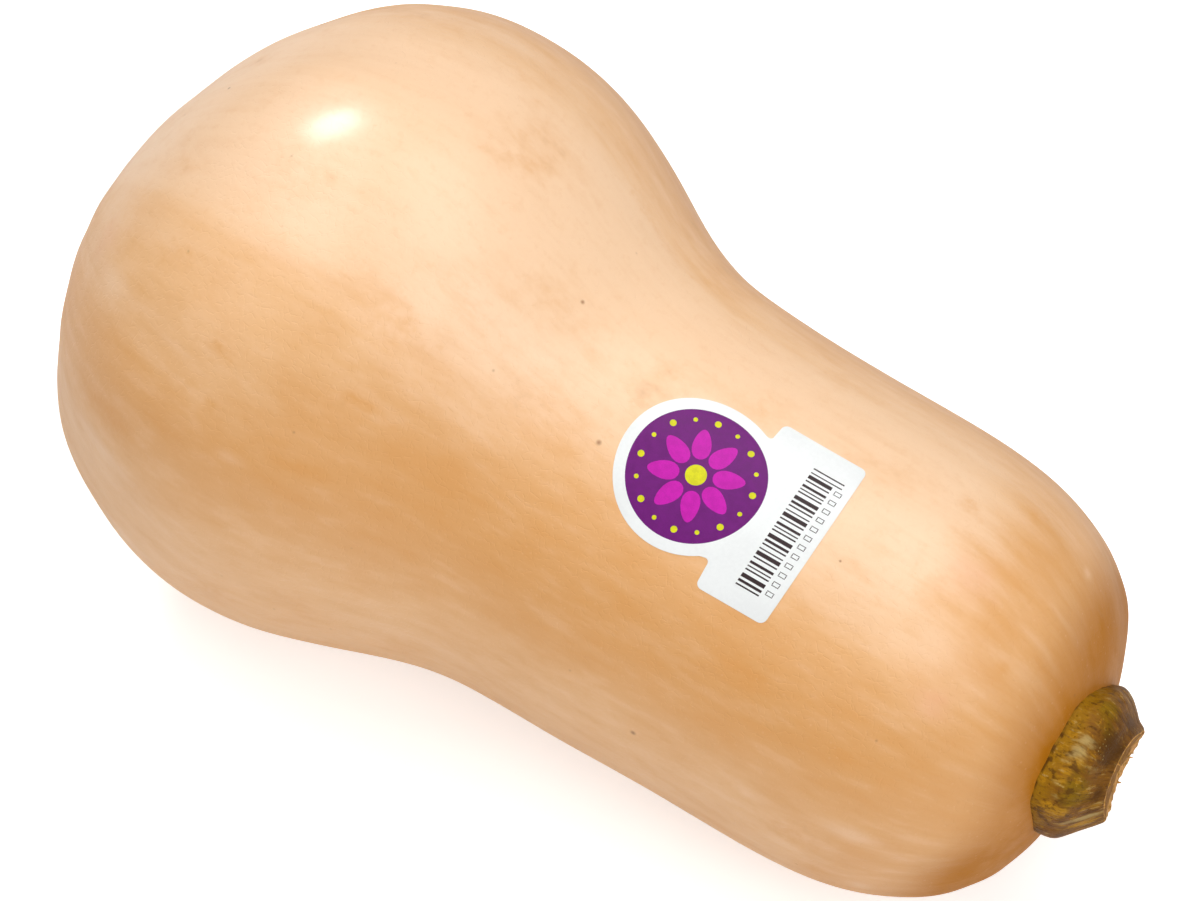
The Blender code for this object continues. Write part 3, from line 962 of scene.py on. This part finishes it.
class SQUASH_OT_make_stem(bpy.types.Operator):
    """Make the corky stem with its ridges, cut end and torn fibres"""

    bl_idname = "squash.make_stem"
    bl_label = "Make stem"

    def execute(self, context):
        columns = STEM_COLUMNS
        rows = smooth_rows(STEM_STATIONS, STEM_ROWS)
        along = rows[:, 0]
        side = np.array((0.0, math.cos(STEM_SIDE), math.sin(STEM_SIDE)))
        face = np.array((0.0, math.cos(STEM_FACE), math.sin(STEM_FACE)))
        angle = np.linspace(0.0, 2.0 * math.pi, columns, endpoint=False)
        lean = np.radians(rows[:, 4])
        turn = rotation(face, lean) @ rotation(side, STEM_TIP_SHARE * lean)
        centre = along[:, None] * ALONG + rows[:, 1:2] * side + rows[:, 2:3] * face
        ridge = 1.0 + 0.035 * np.cos(5.0 * angle + math.radians(90.0))
        spokes = np.cos(angle)[:, None] * side + np.sin(angle)[:, None] * face
        local = rows[:, 3][:, None, None] * ridge[None, :, None] * spokes[None]
        grid = centre[:, None, :] + np.einsum("rij,rcj->rci", turn, local)
        torn = 1.0 + 0.45 * (np.sin(angle) < 0.0)
        sag = CUT_SAG * smoothstep(209.0, STEM_TIP_AT, along)[:, None] * (torn * np.sin(angle) ** 2)[None]
        grid = grid - sag[..., None] * (turn @ ALONG)[:, None, :]
        normal = np.einsum("rij,cj->rci", turn, spokes)
        turns = np.stack([np.repeat(along[:, None], columns, 1) / 9.0,
                          np.repeat(np.cos(angle)[None] * STEM_GIRTH, len(rows), 0),
                          np.repeat(np.sin(angle)[None] * STEM_GIRTH, len(rows), 0)], axis=-1)
        ridges = lattice_noise(turns, (1.0, 2.2, 2.2), 21) + 0.5 * lattice_noise(turns, (0.5, 1.0, 1.0), 22)
        lumps = lattice_noise(grid, (5.0, 5.0, 5.0), 23) + 0.5 * lattice_noise(grid, (2.4, 2.4, 2.4), 24)
        fade = 1.0 - 0.6 * smoothstep(211.0, STEM_TIP_AT, along)[:, None]
        relief = sizes().stem_relief / MM * (0.40 * ridges + 0.28 * lumps) * fade
        grid = grid + normal * relief[..., None]

        rim = grid[-1]
        top = turn[-1] @ ALONG
        hub = rim.mean(axis=0)
        caps = []
        for share in CUT_SHARES:
            ring = hub + (rim - hub) * share
            dish = 0.7 * smoothstep(1.0, 0.55, share) if share < 0.95 else -0.15
            rough = 0.35 * lattice_noise(ring, (1.6, 0.8, 0.8), 25) * (1.0 - share * 0.3)
            caps.append(ring + top * (rough - dish)[:, None])
        points = np.vstack([grid.reshape(-1, 3)] + caps + [hub[None] - 0.8 * top])
        count = len(rows) + len(caps)
        faces = grid_faces(count, columns)
        cut_from = (len(rows) - 1) * columns
        faces += tip_faces(count * columns, (count - 1) * columns, columns, False)
        foot = len(faces)
        faces.append(tuple(reversed(range(columns))))
        fibres, fibre_faces = self.torn_fibres(rim, hub, top, len(points))
        points = np.vstack([points, fibres])
        faces += fibre_faces
        world = turned(points) + plain_shift()
        piece = new_piece("stem_cork", world, faces, [cork_material(), cut_material()], 50.0)
        slots = np.zeros(len(faces), np.int32)
        slots[cut_from:foot] = 1
        slots[foot + 1:] = 1
        piece.data.polygons.foreach_set("material_index", slots)
        self.mark(piece.data, points, along, angle)
        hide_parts("stem")
        return {"FINISHED"}

    def mark(self, mesh, points, along, angle):
        """Store where each stem point lies and how its marks colour it."""
        far = np.maximum(-np.sin(angle), 0.0) ** 0.3
        near = 1.0 - np.outer(smoothstep(0.45, 0.82, np.array(CUT_SHARES)), far)
        first = len(along) * len(angle)
        rest = len(points) - first
        shown = np.zeros(len(points))
        shown[first:first + near.size] = near.ravel()
        rise = np.clip((along - STEM_FOOT_AT) / STEM_RISE, 0.0, 1.0)
        rise = np.append(np.repeat(rise, len(angle)), np.ones(rest))
        angle, along = np.tile(angle, len(along)), np.repeat(along, len(angle))
        along = np.append(along, np.full(rest, STEM_TIP_AT))
        angle = np.append(angle, np.zeros(rest))
        put_vectors(mesh, "stem_place", points * MM)
        turns = np.stack([along, STEM_GIRTH * np.cos(angle), STEM_GIRTH * np.sin(angle)], axis=-1)
        put_vectors(mesh, "stem_turn", turns)
        put_values(mesh, "stem_rise", rise)
        put_values(mesh, "stem_near", shown)
        for name, marks in STEM_MARKS.items():
            put_values(mesh, name, mark_sum(along, angle, math.degrees(1.0), marks, 1.5))
        # Height over the fruit's crown, for the painted shade in the crease round the foot.
        crown = slice(600, 801)
        reach = np.hypot(points[:, 1], points[:, 2])
        level = np.interp(reach, SAMPLES[1][crown][::-1], SAMPLES[0][crown][::-1])
        put_values(mesh, "stem_clear", points[:, 0] - level)

    def torn_fibres(self, rim, hub, top, start):
        """Short torn fibres that stand out past the rim of the cut."""
        points = []
        faces = []
        made = np.random.default_rng(31)
        for spot in (36, 96, 116, 127, 129, 131, 134):
            root = hub + (rim[spot] - hub) * 0.97
            out = (rim[spot] - hub) / np.linalg.norm(rim[spot] - hub)
            along = top * made.uniform(0.5, 1.0) + out * made.uniform(0.1, 0.5)
            across = np.cross(top, out)
            length = made.uniform(0.5, 1.3)
            width = made.uniform(0.16, 0.3)
            for step in range(4):
                share = step / 3.0
                middle = root + along * (length * share - 0.3) + across * 0.25 * share * share
                half = width * (1.0 - 0.75 * share)
                for a, b in ((1, 1), (-1, 1), (-1, -1), (1, -1)):
                    points.append(middle + (across * a + out * b * 0.6) * half)
            base = start + len(points) - 16
            for step in range(3):
                for k in range(4):
                    nxt = (k + 1) % 4
                    low = base + 4 * step
                    faces.append((low + k, low + nxt, low + 4 + nxt, low + 4 + k))
            faces.append((base + 12, base + 13, base + 14, base + 15))
            faces.append((base + 3, base + 2, base + 1, base))
        return np.array(points), faces


# Label


def arc(centre, radius, start, end, count):
    """Points on an arc, angles in degrees."""
    turns = np.radians(np.linspace(start, end, count))
    return [(centre[0] + radius * math.cos(a), centre[1] + radius * math.sin(a)) for a in turns]


def circle(centre, radius, count):
    return arc(centre, radius, 0.0, 360.0 * (count - 1) / count, count)


def fillet(corner, before, after, radius, count=6):
    """Points of a rounded corner between the directions to the points before and after."""
    c, a, b = (Vector(p) for p in (corner, before, after))
    u, v = (a - c).normalized(), (b - c).normalized()
    half = u.angle(v) / 2.0
    reach = radius / math.tan(half)
    middle = c + (u + v).normalized() * (radius / math.sin(half))
    start, end = c + u * reach - middle, c + v * reach - middle
    sweep = start.angle_signed(end)
    points = []
    for k in range(count):
        turn = -sweep * k / (count - 1)
        points.append((
            middle.x + start.x * math.cos(turn) - start.y * math.sin(turn),
            middle.y + start.x * math.sin(turn) + start.y * math.cos(turn),
        ))
    return points


def divided(path, longest):
    """A closed path with points added so that no side is longer than asked."""
    points = []
    for (x0, y0), (x1, y1) in zip(path, path[1:] + path[:1]):
        steps = max(1, math.ceil(math.hypot(x1 - x0, y1 - y0) / longest))
        points += [(x0 + (x1 - x0) * k / steps, y0 + (y1 - y0) * k / steps) for k in range(steps)]
    return points


def label_outline():
    """The paper's edge: a disc that runs into a tab with rounded corners."""
    x, y = DISC_CENTRE
    low, high = y - TAB_REACH[-1], y + TAB_REACH[1]
    start_low, start_high = TAB_START[-1], TAB_START[1]
    # The disc stops a little before the tab, and a small inner corner joins the two.
    turn_low = math.degrees(math.acos((start_low - 1.4 - x) / DISC_RADIUS))
    turn_high = math.degrees(math.acos((start_high - 2.2 - x) / DISC_RADIUS))
    disc = arc(DISC_CENTRE, DISC_RADIUS, turn_high, 360.0 - turn_low, 60)
    inner_low = (start_low - 0.2, disc[-1][1] + 0.2)
    inner_high = (start_high - 0.3, disc[0][1] - 0.5)
    path = list(disc)
    path += fillet(inner_low, disc[-1], (start_low, low), 0.6)
    path += fillet((start_low, low), inner_low, (TAB_END, low), TAB_CORNER)
    path += fillet((TAB_END, low), (start_low, low), (TAB_END, high), TAB_CORNER)
    path += fillet((TAB_END, high), (TAB_END, low), (start_high, high), TAB_CORNER)
    path += fillet((start_high, high), (TAB_END, high), inner_high, TAB_CORNER)
    path += fillet(inner_high, (start_high, high), disc[0], 0.8)
    return divided(path, 0.8)


def petal(centre, turn, inner, outer, width):
    """A pointed oval that stands away from a centre at an angle."""
    points = []
    for k in range(20):
        a = 2.0 * math.pi * k / 20
        along = 0.5 * (inner + outer) - 0.5 * (outer - inner) * math.cos(a)
        across = 0.5 * width * math.sin(a) * (1.0 + 0.25 * math.cos(a))
        c, s = math.cos(turn), math.sin(turn)
        points.append((centre[0] + along * c - across * s, centre[1] + along * s + across * c))
    return points


def box(low, high):
    """Corners of an upright rectangle, its long sides divided to follow the neck."""
    return divided([low, (high[0], low[1]), high, (low[0], high[1])], 1.7)


# Inks: the material numbers that the printed shapes use; 0 is the bare paper.
PURPLE, MAGENTA, LIME, DARK = 1, 2, 3, 4
FIELD_RADIUS = 12.3
PETALS = 8
DOTS = 16
DOT_RING = 10.3
BAR_RHYTHM = (0.36, 0.30, 0.95, 0.36, 0.62, 0.30, 0.36, 0.95, 0.62)
BARS_ACROSS = (-13.1, 12.9)
BARS_START, BARS_END, LONG_BARS_END = 141.6, 146.2, 147.7
BOXES = 12
BOX_FROM, BOX_TO = 146.9, 148.3
BOX_LINE = 0.16


def label_prints():
    """Printed shapes from back to front, each with its material number."""
    x, y = DISC_CENTRE
    shapes = [(circle(DISC_CENTRE, FIELD_RADIUS, 96), PURPLE)]
    for k in range(PETALS):
        shapes.append((petal(DISC_CENTRE, math.pi * (k + 0.5) / 4.0, 2.9, 8.6, 3.3), MAGENTA))
    shapes.append((circle(DISC_CENTRE, 1.9, 28), LIME))
    for k in range(DOTS):
        a = math.pi * (k + 0.5) / 8.0
        size = 0.62 if k % 2 else 0.42
        shapes.append((circle((x + DOT_RING * math.cos(a), y + DOT_RING * math.sin(a)), size, 14), LIME))
    at, last = BARS_ACROSS
    k = 0
    while at < last:
        width = 0.8 * BAR_RHYTHM[k % len(BAR_RHYTHM)]
        end = LONG_BARS_END if k < 2 or at > last - 0.8 else BARS_END
        shapes.append((box((BARS_START, at), (end, at + width)), DARK))
        at += width + (0.42 if k % 3 else 0.66)
        k += 1
    for k in range(BOXES):
        low = -11.2 + 1.97 * k
        sides = (
            ((BOX_FROM, low), (BOX_TO, low + 0.14)),
            ((BOX_FROM, low + 0.78), (BOX_TO, low + 0.92)),
            ((BOX_FROM, low + 0.2), (BOX_FROM + BOX_LINE, low + 0.72)),
            ((BOX_TO - BOX_LINE, low + 0.2), (BOX_TO, low + 0.72)),
        )
        shapes += [(box(corner, reach), DARK) for corner, reach in sides]
    return shapes


def inside(point, path):
    """True if the point lies inside a closed path."""
    x, y = point
    hit = False
    for (x0, y0), (x1, y1) in zip(path, path[1:] + path[:1]):
        if (y0 > y) != (y1 > y) and x < x0 + (y - y0) * (x1 - x0) / (y1 - y0):
            hit = not hit
    return hit


def print_finish(t, shader, tone, dark, light, roughness):
    """Colour, roughness and fine waves that paper and inks have in common."""
    t.link(t.mix(t.ramp(tone, 0.3, 0.7), dark, light), shader["Base Color"])
    t.link(t.plus(roughness[0], t.times(tone, roughness[1])), shader["Roughness"])
    waves = t.noise(t.vector("label_place"), 260.0, 2.0)
    t.link(t.bump(waves, 0.12 * MM, 0.5), shader["Normal"])


def paper_material():
    mat, t, shader = new_material("label_paper", Coat_Weight=0.2, Coat_Roughness=0.15)
    paper = colours().paper
    tone = t.mottle(t.vector("label_place"), 90.0, 1600.0, 0.5)
    print_finish(t, shader, tone, tuple(value * 0.95 for value in paper), paper, (0.28, 0.12))
    return mat


def ink_material(name, ink):
    mat, t, shader = new_material(name, Specular_IOR_Level=0.28)
    tone = t.mottle(t.vector("label_place"), 700.0, 5200.0, 0.8)
    darker = tuple(value * 0.9 for value in ink)
    lighter = tuple(min(value * 1.06, 1.0) for value in ink)
    print_finish(t, shader, tone, darker, lighter, (0.34, 0.14))
    return mat


class SQUASH_OT_make_label(bpy.types.Operator):
    """Make the paper label with its printed shapes, wrapped round the neck"""

    bl_idname = "squash.make_label"
    bl_label = "Make label"

    def execute(self, context):
        paths = [(label_outline(), 0)] + label_prints()
        points = []
        edges = []
        for path, _ in paths:
            first = len(points)
            points += [Vector(p) for p in path]
            edges += [(first + k, first + (k + 1) % len(path)) for k in range(len(path))]
        outline = paths[0][0]
        # Points inside the paper, off the lines of the print, let it bend with the neck.
        for x in np.arange(111.8, TAB_END, 1.1):
            for y in np.arange(-18.4, 16.6, 0.9):
                if inside((x, y), outline):
                    points.append(Vector((x + 0.013, y + 0.017)))
        flat, _, triangles, _, _, _ = delaunay_2d_cdt(points, edges, [], 0, 1e-5)
        kept = []
        slots = []
        for triangle in triangles:
            middle = sum((flat[k] for k in triangle), Vector((0.0, 0.0))) / 3.0
            if not inside(middle, outline):
                continue
            slot = 0
            for path, number in paths[1:]:
                if inside(middle, path):
                    slot = number
            kept.append(tuple(triangle))
            slots.append(slot)
        world, faces, slots = self.thicken(np.array([tuple(p) for p in flat]), kept, slots)
        c = colours()
        materials = [
            paper_material(),
            ink_material("label_purple", c.print_purple),
            ink_material("label_magenta", c.print_magenta),
            ink_material("label_lime", c.print_lime),
            ink_material("label_dark", c.print_dark),
        ]
        piece = new_piece("label_paper", world, faces, materials, 30.0)
        piece.data.polygons.foreach_set("material_index", np.array(slots, np.int32))
        put_vectors(piece.data, "label_place", world * MM)
        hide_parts("label")
        return {"FINISHED"}

    def thicken(self, flat, triangles, slots):
        """Wrap the flat label on the neck and give it a back and an edge."""
        layers = [self.wrapped(flat, sizes().label_lift / MM), self.wrapped(flat, -0.08)]
        count = len(flat)
        faces = []
        used = {}
        for triangle in triangles:
            a, b, c = (flat[k] for k in triangle)
            area = (b[0] - a[0]) * (c[1] - a[1]) - (b[1] - a[1]) * (c[0] - a[0])
            ordered = triangle if area < 0.0 else triangle[::-1]
            faces.append(ordered)
            for k in range(3):
                edge = (ordered[k], ordered[(k + 1) % 3])
                used[edge] = used.get(edge, 0) + 1
        top = list(faces)
        faces += [tuple(k + count for k in reversed(face)) for face in top]
        rim = [edge for edge in used if (edge[1], edge[0]) not in used]
        faces += [(b, a, a + count, b + count) for a, b in rim]
        slots = slots + [0] * (len(faces) - len(slots))
        return np.vstack(layers), faces, slots

    def wrapped(self, flat, lift):
        """Points in mm of the flat label wrapped on the skin and lifted off it."""
        share = (flat[:, 1] - DISC_CENTRE[1]) / TAB_REACH[1]
        bow = TAB_BOW * smoothstep(TAB_BOW_START, TAB_END, flat[:, 0])
        along = flat[:, 0] + bow * (1.0 - np.minimum(share * share, 1.0))
        radius, lean = outline_near(along)
        angle = LABEL_ANGLE + flat[:, 1] / LABEL_GIRTH_RADIUS
        skin = np.stack([along, radius * np.cos(angle) + lean, radius * np.sin(angle)], axis=-1)
        rise = lift + skin_relief(skin)
        skin[:, 1] += rise * np.cos(angle)
        skin[:, 2] += rise * np.sin(angle)
        return turned(skin) + plain_shift()


# Stage

WHITE = (1.0, 1.0, 1.0, 1.0)
FLOOR_REACH = 3.0
FLOOR_GAP = 0.0002
CAMERA_LENS = 165.0
CAMERA_DISTANCE = 1.0
# Name, direction (right, up and toward the view), distance and size (m), power (W).
# The glint is the key light's own shine: it shows in the gloss and lights nothing else.
LIGHTS = (
    ("key", -0.27, 0.93, 0.26, 1.1, (0.30, 0.22), 3.0),
    ("glint", -0.27, 0.93, 0.26, 1.1, (0.26, 0.17), 3.4),
    ("top_left", -0.35, 0.62, 0.70, 1.3, (0.9, 0.6), 4.6),
    ("top_right", 0.35, 0.62, 0.70, 1.3, (0.9, 0.6), 4.8),
    ("front", 0.33, -0.09, 0.94, 1.3, (0.9, 0.9), 8.7),
    ("left", -0.80, 0.05, 0.60, 1.3, (0.6, 0.6), 1.7),
)


def soft_light(name, direction, distance, size, power):
    data = bpy.data.lights.new(name, "AREA")
    data.shape = "RECTANGLE"
    data.size, data.size_y = size
    data.energy = power
    lamp = bpy.data.objects.new(name, data)
    bpy.context.scene.collection.objects.link(lamp)
    toward = Vector(direction).normalized()
    lamp.location = VIEW_TARGET + toward * distance
    lamp.rotation_euler = toward.to_track_quat("Z", "Y").to_euler()
    lamp.visible_diffuse = name != "glint"


class SQUASH_OT_make_stage(bpy.types.Operator):
    """Make the pale floor, the soft lights, the world and the camera"""

    bl_idname = "squash.make_stage"
    bl_label = "Make stage"

    def execute(self, context):
        scene = context.scene
        mesh = bpy.data.meshes.new("floor")
        corners = [(x * FLOOR_REACH, y * FLOOR_REACH, 0.0) for x, y in ((-1, -1), (1, -1), (1, 1), (-1, 1))]
        mesh.from_pydata(corners, [], [(0, 1, 2, 3)])
        floor = bpy.data.objects.new("floor", mesh)
        floor.location.z = -FLOOR_GAP
        scene.collection.objects.link(floor)
        mat, t, shader = new_material(
            "floor_white", Base_Color=(0.9, 0.9, 0.9, 1.0), Roughness=0.8, Emission_Color=WHITE
        )
        seen = t.add("ShaderNodeLightPath").outputs["Is Camera Ray"]
        t.link(t.plus(t.times(seen, 0.45), 0.06), shader["Emission Strength"])
        mesh.materials.append(mat)

        az, el = VIEW_AZIMUTH, VIEW_ELEVATION
        back = Vector((math.sin(az) * math.cos(el), -math.cos(az) * math.cos(el), math.sin(el)))
        right = Vector((math.cos(az), math.sin(az), 0.0))
        up = back.cross(right)
        for name, across, high, near, distance, size, power in LIGHTS:
            soft_light(name, right * across + up * high + back * near, distance, size, power)

        world = bpy.data.worlds.new("white_surroundings")
        world.use_nodes = True
        background = world.node_tree.nodes["Background"].inputs
        background["Color"].default_value = WHITE
        background["Strength"].default_value = 0.10
        scene.world = world
        scene.view_settings.view_transform = "Standard"

        data = bpy.data.cameras.new("view")
        data.sensor_width = 36.0
        data.lens = CAMERA_LENS
        data.clip_start = 0.05
        data.clip_end = 20.0
        camera = bpy.data.objects.new("view", data)
        scene.collection.objects.link(camera)
        camera.location = VIEW_TARGET + back * CAMERA_DISTANCE
        camera.rotation_euler = back.to_track_quat("Z", "Y").to_euler()
        scene.camera = camera
        return {"FINISHED"}


class VIEW3D_PT_squash(bpy.types.Panel):
    """The squash's sizes and colours, and the steps that make it"""

    bl_label = "Butternut squash"
    bl_space_type = "VIEW_3D"
    bl_region_type = "UI"
    bl_category = "Squash"

    def draw(self, context):
        layout = self.layout
        for group in (context.scene.squash_sizes, context.scene.squash_colours):
            box = layout.box()
            for name in group.__annotations__:
                box.prop(group, name)
        for operator in OPERATORS:
            layout.operator(operator.bl_idname)


OPERATORS = (SQUASH_OT_make_fruit, SQUASH_OT_make_stem, SQUASH_OT_make_label, SQUASH_OT_make_stage)
CLASSES = (SquashSizes, SquashColours, *OPERATORS, VIEW3D_PT_squash)


def register():
    for cls in CLASSES:
        bpy.utils.register_class(cls)
    bpy.types.Scene.squash_sizes = bpy.props.PointerProperty(type=SquashSizes)
    bpy.types.Scene.squash_colours = bpy.props.PointerProperty(type=SquashColours)


def unregister():
    del bpy.types.Scene.squash_colours
    del bpy.types.Scene.squash_sizes
    for cls in reversed(CLASSES):
        bpy.utils.unregister_class(cls)


def plain(bounds):
    return [[float(value) for value in corner] for corner in bounds]


def main():
    register()
    bpy.ops.squash.make_fruit()
    bpy.ops.squash.make_stem()
    bpy.ops.squash.make_label()
    bpy.ops.squash.make_stage()
    bpy.context.view_layer.update()


if __name__ == "__main__":
    main()
